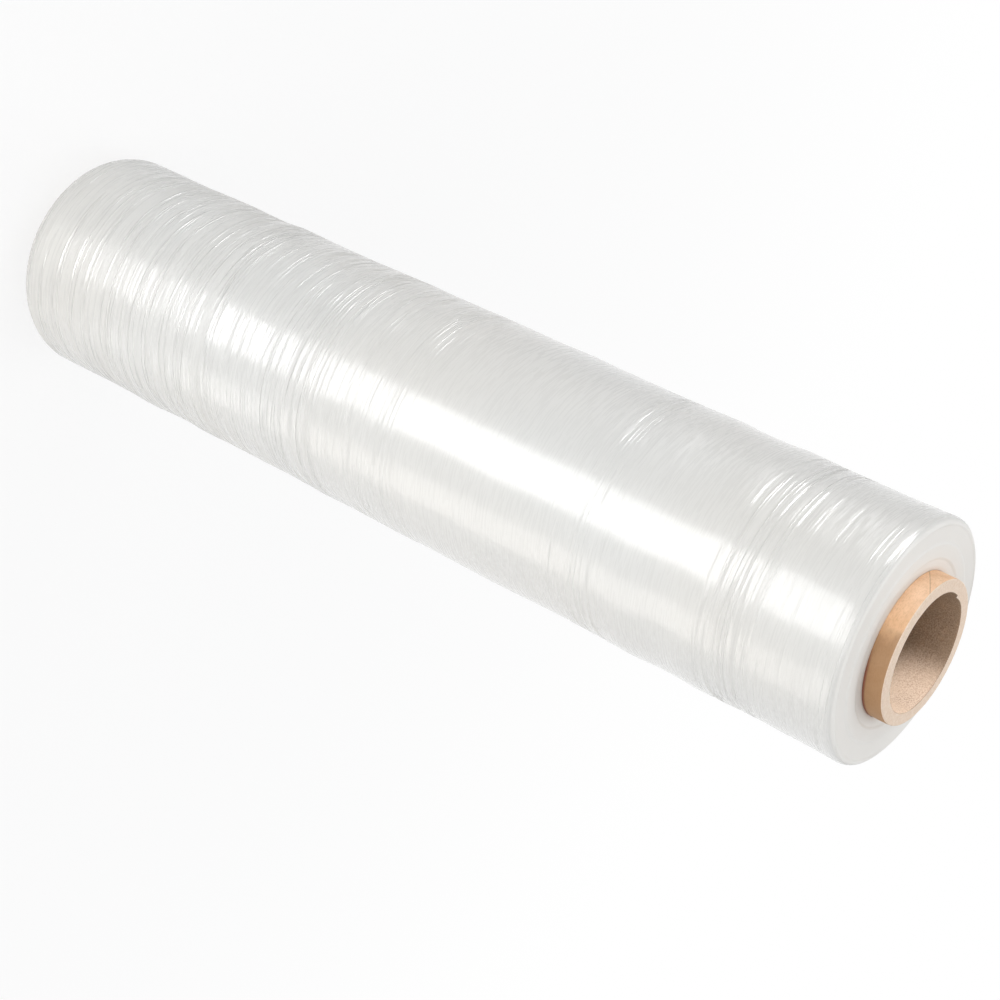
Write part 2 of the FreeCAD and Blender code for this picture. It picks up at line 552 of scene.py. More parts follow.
def frayed_rims_tree(materials):
    """Small dents and tufts on the tube's two cut rims."""
    tree, start, identifiers = tree_for(
        "frayed_rims",
        (
            ("Tube bottom", "NodeSocketFloat"),
            ("Tube top", "NodeSocketFloat"),
            ("Fray depth", "NodeSocketFloat"),
            ("Fray pitch", "NodeSocketFloat"),
        ),
    )
    place = add_node(tree, "GeometryNodeInputPosition")
    parts = add_node(tree, "ShaderNodeSeparateXYZ", inputs={0: place.outputs[0]})
    from_top = math_of(tree, "SUBTRACT", start.outputs["Tube top"], parts.outputs[2])
    from_bottom = math_of(tree, "SUBTRACT", parts.outputs[2], start.outputs["Tube bottom"])
    nearest = math_of(tree, "MINIMUM", from_top, from_bottom)
    near_rim = add_node(
        tree,
        "ShaderNodeMapRange",
        {"interpolation_type": "SMOOTHSTEP"},
        {"Value": nearest, "From Min": 0.0, "From Max": 1.8 * MM, "To Min": 1.0, "To Max": 0.0},
    )
    spot = add_node(
        tree,
        "ShaderNodeVectorMath",
        {"operation": "SCALE"},
        {
            0: place.outputs[0],
            "Scale": math_of(tree, "DIVIDE", 1.0, start.outputs["Fray pitch"]),
        },
    )
    tufts = add_node(
        tree,
        "ShaderNodeTexNoise",
        {"noise_dimensions": "3D"},
        {"Vector": spot.outputs[0], "Scale": 1.0, "Detail": 2.0, "Roughness": 0.6},
    )
    dent = math_of(tree, "MULTIPLY", tufts.outputs[0], start.outputs["Fray depth"])
    dent = math_of(tree, "MULTIPLY", dent, near_rim.outputs[0])
    dent = math_of(tree, "MULTIPLY", dent, -1.0)
    normal = add_node(tree, "GeometryNodeInputNormal")
    move = add_node(
        tree, "ShaderNodeVectorMath", {"operation": "SCALE"}, {0: normal.outputs[0], "Scale": dent}
    )
    moved = add_node(
        tree,
        "GeometryNodeSetPosition",
        inputs={"Geometry": start.outputs["Geometry"], "Offset": move.outputs[0]},
    )
    close_tree(tree, moved.outputs[0], materials)
    return tree, identifiers


def shaped_by(piece, tree, identifiers, values):
    """The piece with the tree's result baked into its mesh."""
    shaper = piece.modifiers.new(tree.name, "NODES")
    shaper.node_group = tree
    for label, value in values.items():
        shaper[identifiers[label]] = value
    bpy.context.view_layer.update()
    graph = bpy.context.evaluated_depsgraph_get()
    ready = piece.evaluated_get(graph)
    baked = bpy.data.meshes.new_from_object(
        ready, preserve_all_data_layers=True, depsgraph=graph
    )
    piece.modifiers.remove(shaper)
    piece.data = baked
    baked.name = piece.name
    return piece


def new_material(name):
    """An empty node material, its tree, its surface shader and that shader's coordinates."""
    material = bpy.data.materials.new(name)
    material.use_nodes = True
    tree = material.node_tree
    tree.nodes.clear()
    shader = add_node(tree, "ShaderNodeBsdfPrincipled")
    add_node(tree, "ShaderNodeOutputMaterial", inputs={"Surface": shader.outputs[0]})
    place = add_node(tree, "ShaderNodeTexCoord").outputs["Object"]
    return material, tree, shader, place


def stretched_noise(tree, place, period, detail):
    """Noise whose periods along X, Y and Z are given in metres."""
    scale = [1 / length for length in period]
    spot = add_node(tree, "ShaderNodeMapping", inputs={"Vector": place, "Scale": scale})
    node = add_node(
        tree,
        "ShaderNodeTexNoise",
        {"noise_dimensions": "3D"},
        {"Vector": spot.outputs[0], "Scale": 1.0, "Detail": detail, "Roughness": 0.55},
    )
    return node.outputs[0]


def blended(tree, share, first, second):
    """A colour between two, by a share."""
    node = add_node(
        tree,
        "ShaderNodeMix",
        {"data_type": "RGBA"},
        {"Factor": share},
    )
    for key, value in ((6, first), (7, second)):
        if isinstance(value, bpy.types.NodeSocket):
            tree.links.new(value, node.inputs[key])
        else:
            node.inputs[key].default_value = value
    return node.outputs[2]


def stretch_film_material(film_colour, core_radius):
    """Wound low-density polyethylene film."""
    # Blown or cast film a few hundredths of a millimetre thick, clear by itself. Hundreds of turns
    # scatter the light between them, so the roll looks cloudy white under a glossy face, and its
    # shine is drawn out along the roll, across the fine ridges that every turn leaves.
    material, tree, shader, place = new_material("wound_polyethylene_film")
    parts = add_node(tree, "ShaderNodeSeparateXYZ", inputs={0: place})
    rough = add_node(
        tree, "ShaderNodeAttribute", {"attribute_name": "rough_winding"}
    ).outputs["Fac"]
    # Haze that drifts from cool to warm over about 90 mm
    drift = stretched_noise(tree, place, (0.09, 0.09, 0.12), 1.0)
    drift_share = add_node(
        tree, "ShaderNodeMapRange", inputs={"Value": drift, "From Min": 0.35, "From Max": 0.65}
    )
    warm_haze = tuple(c * f for c, f in zip(film_colour, (1.0, 0.992, 0.98, 1.0)))
    cool_haze = tuple(c * f for c, f in zip(film_colour, (0.985, 0.993, 1.0, 1.0)))
    colour = blended(tree, drift_share.outputs[0], cool_haze, warm_haze)
    upright = add_node(tree, "ShaderNodeNewGeometry").outputs["Normal"]
    upright_z = add_node(tree, "ShaderNodeSeparateXYZ", inputs={0: upright}).outputs[2]
    on_end = add_node(
        tree,
        "ShaderNodeMapRange",
        {"interpolation_type": "SMOOTHSTEP"},
        {"Value": math_of(tree, "ABSOLUTE", upright_z), "From Min": 0.35, "From Max": 0.9},
    ).outputs[0]
    on_side = math_of(tree, "SUBTRACT", 1.0, on_end)
    # Thin grey lines round the roll, about 1.3 mm apart, where turns lie clear of each other
    lines = stretched_noise(tree, place, (0.05, 0.05, 1.3 * MM), 2.0)
    line_share = add_node(
        tree, "ShaderNodeMapRange", inputs={"Value": lines, "From Min": 0.52, "From Max": 0.72}
    )
    any_rough = math_of(tree, "MULTIPLY_ADD", rough, 0.75)
    any_rough.node.inputs[2].default_value = 0.4
    line_share = math_of(tree, "MULTIPLY", line_share.outputs[0], any_rough)
    line_share = math_of(tree, "MULTIPLY", line_share, 0.25)
    line_share = math_of(tree, "MULTIPLY", line_share, on_side)
    grey_line = tuple(c * 0.72 for c in film_colour[:3]) + (1.0,)
    colour = blended(tree, line_share, colour, grey_line)
    # The cut edges of all the turns scatter more light, so the end faces are whiter
    edge_white = tuple(min(1.0, c * f) for c, f in zip(film_colour, (1.14, 1.13, 1.12, 1.0)))
    colour = blended(tree, math_of(tree, "POWER", on_end, 4.0), colour, edge_white)
    # The tube shows brown through the turns that lie next to it
    across = add_node(
        tree, "ShaderNodeCombineXYZ", inputs={0: parts.outputs[0], 1: parts.outputs[1]}
    )
    radius = add_node(
        tree, "ShaderNodeVectorMath", {"operation": "LENGTH"}, {0: across.outputs[0]}
    ).outputs["Value"]
    near_core = add_node(
        tree,
        "ShaderNodeMapRange",
        {"interpolation_type": "SMOOTHSTEP"},
        {
            "Value": radius,
            "From Min": core_radius,
            "From Max": core_radius + 2.2 * MM,
            "To Min": 0.25,
            "To Max": 0.0,
        },
    )
    colour = blended(tree, near_core.outputs[0], colour, linear("#CDB296"))
    tree.links.new(colour, shader.inputs["Base Color"])
    # Ridges of single turns, 0.55 mm apart, drawn a little coarser than real so that they show
    fine = stretched_noise(tree, place, (0.06, 0.06, 0.55 * MM), 1.0)
    fine_share = math_of(tree, "MULTIPLY_ADD", rough, 0.9)
    fine_share.node.inputs[2].default_value = 0.1
    fine_height = math_of(tree, "MULTIPLY", fine, fine_share)
    smooth_ripple = stretched_noise(tree, place, (0.03, 0.03, 0.01), 1.0)
    # Tight and loose turns, about 2.8 mm apart, which break the shine up into streaks
    loose = stretched_noise(tree, place, (0.07, 0.07, 2.8 * MM), 1.5)
    loose_height = math_of(tree, "MULTIPLY", loose, math_of(tree, "POWER", rough, 1.6))
    loose_bump = add_node(
        tree,
        "ShaderNodeBump",
        inputs={"Strength": 1.0, "Distance": 0.5 * MM, "Height": loose_height},
    )
    # Sharp creases about 3 mm apart where the winding is rough, which catch the light in thin lines
    creases = stretched_noise(tree, place, (0.11, 0.11, 3.0 * MM), 1.0)
    off_crease = math_of(tree, "ABSOLUTE", math_of(tree, "SUBTRACT", creases, 0.58))
    crease = add_node(
        tree,
        "ShaderNodeMapRange",
        {"interpolation_type": "SMOOTHSTEP"},
        {"Value": off_crease, "From Max": 0.065, "To Min": 1.0, "To Max": 0.0},
    ).outputs[0]
    crease_height = math_of(tree, "MULTIPLY", crease, math_of(tree, "POWER", rough, 2.0))
    crease_bump = add_node(
        tree,
        "ShaderNodeBump",
        inputs={
            "Strength": 1.0,
            "Distance": 0.28 * MM,
            "Height": crease_height,
            "Normal": loose_bump.outputs[0],
        },
    )
    fine_bump = add_node(
        tree,
        "ShaderNodeBump",
        inputs={
            "Strength": 1.0,
            "Distance": 0.13 * MM,
            "Height": fine_height,
            "Normal": crease_bump.outputs[0],
        },
    )
    soft_bump = add_node(
        tree,
        "ShaderNodeBump",
        inputs={
            "Strength": 0.35,
            "Distance": 0.25 * MM,
            "Height": smooth_ripple,
            "Normal": fine_bump.outputs[0],
        },
    )
    # Edges of the turns on the end faces, in rings about 0.7 mm apart
    rings_spot = add_node(
        tree,
        "ShaderNodeCombineXYZ",
        inputs={
            0: math_of(tree, "MULTIPLY", parts.outputs[0], 20.0),
            1: math_of(tree, "MULTIPLY", parts.outputs[1], 20.0),
            2: math_of(tree, "DIVIDE", radius, 0.7 * MM),
        },
    )
    rings = add_node(
        tree,
        "ShaderNodeTexNoise",
        {"noise_dimensions": "3D"},
        {"Vector": rings_spot.outputs[0], "Scale": 1.0, "Detail": 1.0},
    )
    ring_height = math_of(tree, "MULTIPLY", rings.outputs[0], on_end)
    ring_bump = add_node(
        tree,
        "ShaderNodeBump",
        inputs={
            "Strength": 0.3,
            "Distance": 0.06 * MM,
            "Height": ring_height,
            "Normal": soft_bump.outputs[0],
        },
    )
    tree.links.new(ring_bump.outputs[0], shader.inputs["Normal"])
    tree.links.new(ring_bump.outputs[0], shader.inputs["Coat Normal"])
    round_the_roll = add_node(
        tree, "ShaderNodeTangent", {"direction_type": "RADIAL", "axis": "Z"}
    )
    tree.links.new(round_the_roll.outputs[0], shader.inputs["Tangent"])
    # Turns that lie tight shine sharply, and loose ones between them are hazy, in lines 1 to 3 mm apart
    cling = stretched_noise(tree, place, (0.045, 0.045, 2.1 * MM), 2.0)
    cling_floor = math_of(tree, "MULTIPLY_ADD", rough, 0.35)
    cling_floor.node.inputs[2].default_value = 0.215
    above_floor = math_of(tree, "SUBTRACT", cling, cling_floor)
    tight_share = add_node(
        tree,
        "ShaderNodeMapRange",
        {"interpolation_type": "SMOOTHSTEP"},
        {"Value": above_floor, "From Min": -0.016, "From Max": 0.016},
    ).outputs[0]
    creased_share = math_of(tree, "MULTIPLY", crease, math_of(tree, "POWER", rough, 0.5))
    tight_share = math_of(tree, "MAXIMUM", tight_share, creased_share)
    tight_share = math_of(tree, "MULTIPLY", tight_share, on_side)
    fringe = stretched_noise(tree, place, (0.01, 0.01, 0.8 * MM), 1.0)
    fringe_share = add_node(
        tree,
        "ShaderNodeMapRange",
        inputs={
            "Value": fringe,
            "From Min": 0.35,
            "From Max": 0.65,
            "To Min": 0.18,
            "To Max": 0.4,
        },
    ).outputs[0]
    hazy = math_of(tree, "MULTIPLY", math_of(tree, "SUBTRACT", 1.0, tight_share), 0.4)
    tree.links.new(math_of(tree, "ADD", fringe_share, hazy), shader.inputs["Roughness"])
    coat_share = math_of(tree, "MULTIPLY_ADD", tight_share, 0.8)
    coat_share.node.inputs[2].default_value = 0.03
    tree.links.new(coat_share, shader.inputs["Coat Weight"])
    shader.inputs["Anisotropic"].default_value = 0.6
    shader.inputs["Anisotropic Rotation"].default_value = 0.25
    shader.inputs["IOR"].default_value = 1.51
    shader.inputs["Specular IOR Level"].default_value = 0.3
    shader.inputs["Coat Roughness"].default_value = 0.19
    shader.inputs["Coat IOR"].default_value = 1.5
    shader.inputs["Subsurface Weight"].default_value = 0.25
    shader.inputs["Subsurface Radius"].default_value = (1.0, 1.0, 1.0)
    shader.inputs["Subsurface Scale"].default_value = 3 * MM
    return material


def helix_share(tree, parts, lead, start_share):
    """How far a spot lies along the way from one seam of a spiral ply to the next, from 0 to 1."""
    turn = math_of(tree, "ARCTAN2", parts.outputs[1], parts.outputs[0])
    turns = math_of(tree, "DIVIDE", turn, 2 * math.pi)
    climbs = math_of(tree, "DIVIDE", parts.outputs[2], lead)
    share = math_of(tree, "SUBTRACT", turns, climbs)
    share = math_of(tree, "ADD", share, start_share)
    return math_of(tree, "FRACT", share)


def seam_line(tree, share, width_share):
    """1 on the seam and 0 away from it."""
    from_seam = math_of(tree, "ABSOLUTE", math_of(tree, "SUBTRACT", share, 0.5))
    node = add_node(
        tree,
        "ShaderNodeMapRange",
        inputs={
            "Value": from_seam,
            "From Min": 0.0,
            "From Max": width_share,
            "To Min": 1.0,
            "To Max": 0.0,
        },
    )
    return node.outputs[0]


def kraft_paper_material(kraft_colour, lead, start_share):
    """Outer ply of the tube."""
    # Unbleached kraft paper, calendered and wound in a spiral: smooth, tan, with faint fibres
    material, tree, shader, place = new_material("calendered_kraft_paper")
    parts = add_node(tree, "ShaderNodeSeparateXYZ", inputs={0: place})
    mottle = stretched_noise(tree, place, (7 * MM, 7 * MM, 7 * MM), 3.0)
    mottle_share = add_node(
        tree, "ShaderNodeMapRange", inputs={"Value": mottle, "From Min": 0.3, "From Max": 0.7}
    )
    pale = tuple(min(1.0, c * 1.12) for c in kraft_colour[:3]) + (1.0,)
    deep = tuple(c * f for c, f in zip(kraft_colour, (0.93, 0.86, 0.78, 1.0)))
    colour = blended(tree, mottle_share.outputs[0], deep, pale)
    fibres = stretched_noise(tree, place, (1.2 * MM, 1.2 * MM, 0.5 * MM), 2.0)
    fibre_share = add_node(
        tree,
        "ShaderNodeMapRange",
        inputs={"Value": fibres, "From Min": 0.45, "From Max": 0.75, "To Max": 0.3},
    )
    colour = blended(tree, fibre_share.outputs[0], colour, linear("#A9794F"))
    # Painted shade: the tube's +X side, where the light falls less, is painted darker, with a ragged edge
    ragged = math_of(tree, "MULTIPLY_ADD", mottle, 12 * MM)
    ragged.node.inputs[2].default_value = -6 * MM
    painted_shade_share = add_node(
        tree,
        "ShaderNodeMapRange",
        {"interpolation_type": "SMOOTHSTEP"},
        {
            "Value": math_of(tree, "ADD", parts.outputs[0], ragged),
            "From Min": -5.5 * MM,
            "From Max": 3.5 * MM,
            "To Max": 0.75,
        },
    ).outputs[0]
    colour = blended(tree, painted_shade_share, colour, linear("#946E48"))
    # Painted shadow: a thin dark red line where the film meets the tube on that side
    shadow_line_angle = math.radians(-35)
    towards = add_node(
        tree,
        "ShaderNodeVectorMath",
        {"operation": "DOT_PRODUCT"},
        {0: place, 1: (math.cos(shadow_line_angle), math.sin(shadow_line_angle), 0.0)},
    ).outputs["Value"]
    shadow_line_side = add_node(
        tree,
        "ShaderNodeMapRange",
        inputs={"Value": towards, "From Min": 22 * MM, "From Max": 28 * MM},
    ).outputs[0]
    shadow_line_band = add_node(
        tree,
        "ShaderNodeMapRange",
        inputs={
            "Value": parts.outputs[2],
            "From Min": FILM_HIGH.z + 0.2 * MM,
            "From Max": FILM_HIGH.z + 1.0 * MM,
            "To Min": 0.75,
            "To Max": 0.0,
        },
    ).outputs[0]
    colour = blended(tree, math_of(tree, "MULTIPLY", shadow_line_side, shadow_line_band), colour, linear("#74332C"))
    seam = seam_line(tree, helix_share(tree, parts, lead, start_share), 0.0024)
    colour = blended(tree, math_of(tree, "MULTIPLY", seam, 0.6), colour, linear("#6E4E33"))
    tree.links.new(colour, shader.inputs["Base Color"])
    height = math_of(tree, "SUBTRACT", math_of(tree, "MULTIPLY", fibres, 0.2), seam)
    bump = add_node(
        tree, "ShaderNodeBump", inputs={"Strength": 0.6, "Distance": 0.12 * MM, "Height": height}
    )
    tree.links.new(bump.outputs[0], shader.inputs["Normal"])
    shader.inputs["Roughness"].default_value = 0.6
    shader.inputs["IOR"].default_value = 1.45
    return material


def cut_board_material(cut_colour):
    """Sawn rim of the tube."""
    # Glued board cut across its plies: pale, matt, with short fibres and faint rings of glue
    material, tree, shader, place = new_material("sawn_paperboard_edge")
    parts = add_node(tree, "ShaderNodeSeparateXYZ", inputs={0: place})
    across = add_node(
        tree, "ShaderNodeCombineXYZ", inputs={0: parts.outputs[0], 1: parts.outputs[1]}
    )
    radius = add_node(
        tree, "ShaderNodeVectorMath", {"operation": "LENGTH"}, {0: across.outputs[0]}
    ).outputs["Value"]
    tufts = stretched_noise(tree, place, (0.9 * MM, 0.9 * MM, 0.9 * MM), 3.0)
    tuft_share = add_node(
        tree, "ShaderNodeMapRange", inputs={"Value": tufts, "From Min": 0.3, "From Max": 0.7}
    )
    deep = tuple(c * f for c, f in zip(cut_colour, (0.9, 0.85, 0.78, 1.0)))
    colour = blended(tree, tuft_share.outputs[0], deep, cut_colour)
    # Plies about 0.47 mm thick
    ply = math_of(tree, "SINE", math_of(tree, "MULTIPLY", radius, 2 * math.pi / (0.47 * MM)))
    ply = math_of(tree, "MULTIPLY_ADD", ply, 0.5)
    ply.node.inputs[2].default_value = 0.5
    ply_share = math_of(tree, "MULTIPLY", math_of(tree, "POWER", ply, 4.0), 0.15)
    colour = blended(tree, ply_share, colour, linear("#B08E6C"))
    tree.links.new(colour, shader.inputs["Base Color"])
    bump = add_node(
        tree, "ShaderNodeBump", inputs={"Strength": 0.7, "Distance": 0.25 * MM, "Height": tufts}
    )
    tree.links.new(bump.outputs[0], shader.inputs["Normal"])
    shader.inputs["Roughness"].default_value = 0.9
    shader.inputs["IOR"].default_value = 1.45
    return material


def chipboard_material(board_colour, lead, start_share):
    """Inside of the tube."""
    # Recycled grey-brown board, uncoated: rough, speckled light and dark by mixed fibres
    material, tree, shader, place = new_material("recycled_chipboard_liner")
    parts = add_node(tree, "ShaderNodeSeparateXYZ", inputs={0: place})
    specks = stretched_noise(tree, place, (0.55 * MM, 0.55 * MM, 0.55 * MM), 2.0)
    speck_share = add_node(
        tree, "ShaderNodeMapRange", inputs={"Value": specks, "From Min": 0.36, "From Max": 0.64}
    )
    dark = tuple(c * f for c, f in zip(board_colour, (0.72, 0.68, 0.64, 1.0)))
    pale = tuple(min(1.0, c * f) for c, f in zip(board_colour, (1.22, 1.24, 1.26, 1.0)))
    colour = blended(tree, speck_share.outputs[0], dark, pale)
    patches = stretched_noise(tree, place, (12 * MM, 12 * MM, 12 * MM), 2.0)
    patch_share = add_node(
        tree,
        "ShaderNodeMapRange",
        inputs={"Value": patches, "From Min": 0.35, "From Max": 0.65, "To Max": 0.25},
    )
    colour = blended(tree, patch_share.outputs[0], colour, linear("#B79A7D"))
    seam = seam_line(tree, helix_share(tree, parts, lead, start_share), 0.006)
    colour = blended(tree, math_of(tree, "MULTIPLY", seam, 0.6), colour, linear("#5B4636"))
    tree.links.new(colour, shader.inputs["Base Color"])
    height = math_of(tree, "SUBTRACT", math_of(tree, "MULTIPLY", specks, 0.5), seam)
    bump = add_node(
        tree, "ShaderNodeBump", inputs={"Strength": 0.6, "Distance": 0.15 * MM, "Height": height}
    )
    tree.links.new(bump.outputs[0], shader.inputs["Normal"])
    shader.inputs["Roughness"].default_value = 0.88
    shader.inputs["IOR"].default_value = 1.45
    return material


class ROLL_OT_wind_film(bpy.types.Operator):
    """Build the wound film, with the uneven winding that its plain solid leaves out"""

    bl_idname = "roll.wind_film"
    bl_label = "Wind the film"

    def execute(self, context):
        sizes = context.scene.roll_sizes
        colours = context.scene.roll_colours
        core_radius = CORE_HIGH.x
        film_radius = FILM_HIGH.x
        outline = film_outline(
            core_radius / MM,
            film_radius / MM,
            FILM_LOW.z / MM,
            FILM_HIGH.z / MM,
            sizes.ring_step / MM,
        )
        outline = [(radius * MM, height * MM) for radius, height in outline]
        film = lathe("wound_film_turns", outline, sizes.turns_around, [0] * len(outline))
        wound = stretch_film_material(tuple(colours.film), core_radius)
        tree, identifiers = uneven_winding_tree([wound])
        values = {
            "Core radius": core_radius,
            "Film radius": film_radius,
            "Film bottom": FILM_LOW.z,
            "Film top": FILM_HIGH.z,
            "Ridge depth": sizes.ridge_depth,
            "Ridge pitch": sizes.ridge_pitch,
            "Swell depth": sizes.swell_depth,
            "Slip depth": sizes.slip_depth,
            "Seed": 3.0,
        }
        shaped_by(film, tree, identifiers, values)
        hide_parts("wound_film")
        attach(film, "root")
        return {"FINISHED"}


class ROLL_OT_make_tube(bpy.types.Operator):
    """Build the paperboard tube, with its spiral seams and its uneven cut rims"""

    bl_idname = "roll.make_tube"
    bl_label = "Make the tube"

    def execute(self, context):
        sizes = context.scene.roll_sizes
        colours = context.scene.roll_colours
        bore = CORE_BORE / 2
        wall_out = CORE_HIGH.x / MM
        low, high = CORE_LOW.z / MM, CORE_HIGH.z / MM
        film_low, film_high = FILM_LOW.z / MM, FILM_HIGH.z / MM
        rim_round = 0.6
        bore_round = 0.35
        kraft, cut, board = 0, 1, 2
        outline = []
        kinds = []

        def run(points, kind):
            """Adds points, with the kind of surface that starts at each."""
            outline.extend(points)
            kinds.extend([kind] * len(points))

        run([(r, low) for r in spread(bore + bore_round, wall_out - rim_round, 0.45)], cut)
        run(corner_arc(wall_out - rim_round, low + rim_round, rim_round, -90, 0, 4), cut)
        run([(wall_out, z) for z in spread(low + rim_round, film_low + 2, 0.7)], kraft)
        run([(wall_out, z) for z in spread(film_low + 2, film_high - 2, 60)], kraft)
        run([(wall_out, z) for z in spread(film_high - 2, high - rim_round, 0.7)], kraft)
        run(corner_arc(wall_out - rim_round, high - rim_round, rim_round, 0, 90, 4), cut)
        run([(r, high) for r in spread(wall_out - rim_round, bore + bore_round, 0.45)], cut)
        run(corner_arc(bore + bore_round, high - bore_round, bore_round, 90, 180, 3), board)
        run([(bore, z) for z in spread(high - bore_round, high - 6, 0.6)], board)
        run([(bore, z) for z in spread(high - 6, low + 6, 24)], board)
        run([(bore, z) for z in spread(low + 6, low + bore_round, 0.6)], board)
        run(corner_arc(bore + bore_round, low + bore_round, bore_round, 180, 270, 3), board)

        outline = [(radius * MM, height * MM) for radius, height in outline]
        tube = lathe("paper_tube", outline, 180, kinds)
        lift_ply_end(tube.data, bore * MM, high * MM)
        seam_lead = 114 * MM
        outer_seam_angle = -152.2
        outer_seam_height = 467.0 * MM
        outer_start = 0.5 - (outer_seam_angle / 360 - outer_seam_height / seam_lead)
        kraft_paper = kraft_paper_material(tuple(colours.kraft), seam_lead, outer_start)
        cut_edge = cut_board_material(tuple(colours.cut_board))
        liner = chipboard_material(tuple(colours.chipboard), seam_lead, outer_start + 0.12)
        tree, identifiers = frayed_rims_tree([kraft_paper, cut_edge, liner])
        values = {
            "Tube bottom": CORE_LOW.z,
            "Tube top": CORE_HIGH.z,
            "Fray depth": sizes.fray_depth,
            "Fray pitch": 1.4 * MM,
        }
        shaped_by(tube, tree, identifiers, values)
        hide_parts("paper_core")
        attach(tube, "root")
        return {"FINISHED"}


def lift_ply_end(mesh, bore, top):
    """Lifts the end of the innermost ply a little off the upper rim's inner edge."""
    from_angle, to_angle = 150.0, 172.0
    reach = 3.0 * MM
    lift = 1.1 * MM
    for vertex in mesh.vertices:
        spot = vertex.co
        radius = math.hypot(spot.x, spot.y)
        below = top - spot.z
        if radius > bore + 0.8 * MM or below > reach:
            continue
        angle = math.degrees(math.atan2(spot.y, spot.x)) % 360
        if not from_angle < angle <= to_angle:
            continue
        share = (angle - from_angle) / (to_angle - from_angle)
        fade = 1 - below / reach
        inward = lift * share * share * fade
        spot.x -= inward * spot.x / radius
        spot.y -= inward * spot.y / radius
        spot.z -= 0.35 * MM * share * fade


def soft_lamp(name, place, aim, width, height, power_per_area, colour, gloss_only):
    """A soft box of a given brightness, turned so that it faces the place it aims at."""
    lamp = bpy.data.lights.new(name, "AREA")
    lamp.shape = "RECTANGLE"
    lamp.size = width
    lamp.size_y = height
    # An area lamp of this power sends out a radiance of power / (area * pi)
    lamp.energy = power_per_area * width * height * math.pi
    lamp.color = linear(colour)[:3]
    holder = bpy.data.objects.new(name, lamp)
    holder.location = place
    direction = Vector(aim) - Vector(place)
    holder.rotation_mode = "QUATERNION"
    holder.rotation_quaternion = direction.to_track_quat("-Z", "Y")
    holder.visible_camera = False
    if gloss_only:
        holder.visible_diffuse = False
        holder.visible_transmission = False
    bpy.context.scene.collection.objects.link(holder)
    return holder


def seen_share(tree, share):
    """The given share for camera, glossy and transmission rays, and 0 for light that is passed on."""
    ray = add_node(tree, "ShaderNodeLightPath")
    seen = math_of(
        tree,
        "MAXIMUM",
        ray.outputs["Is Camera Ray"],
        math_of(
            tree,
            "MAXIMUM",
            ray.outputs["Is Glossy Ray"],
            ray.outputs["Is Transmission Ray"],
        ),
    )
    return math_of(tree, "MULTIPLY", seen, share)


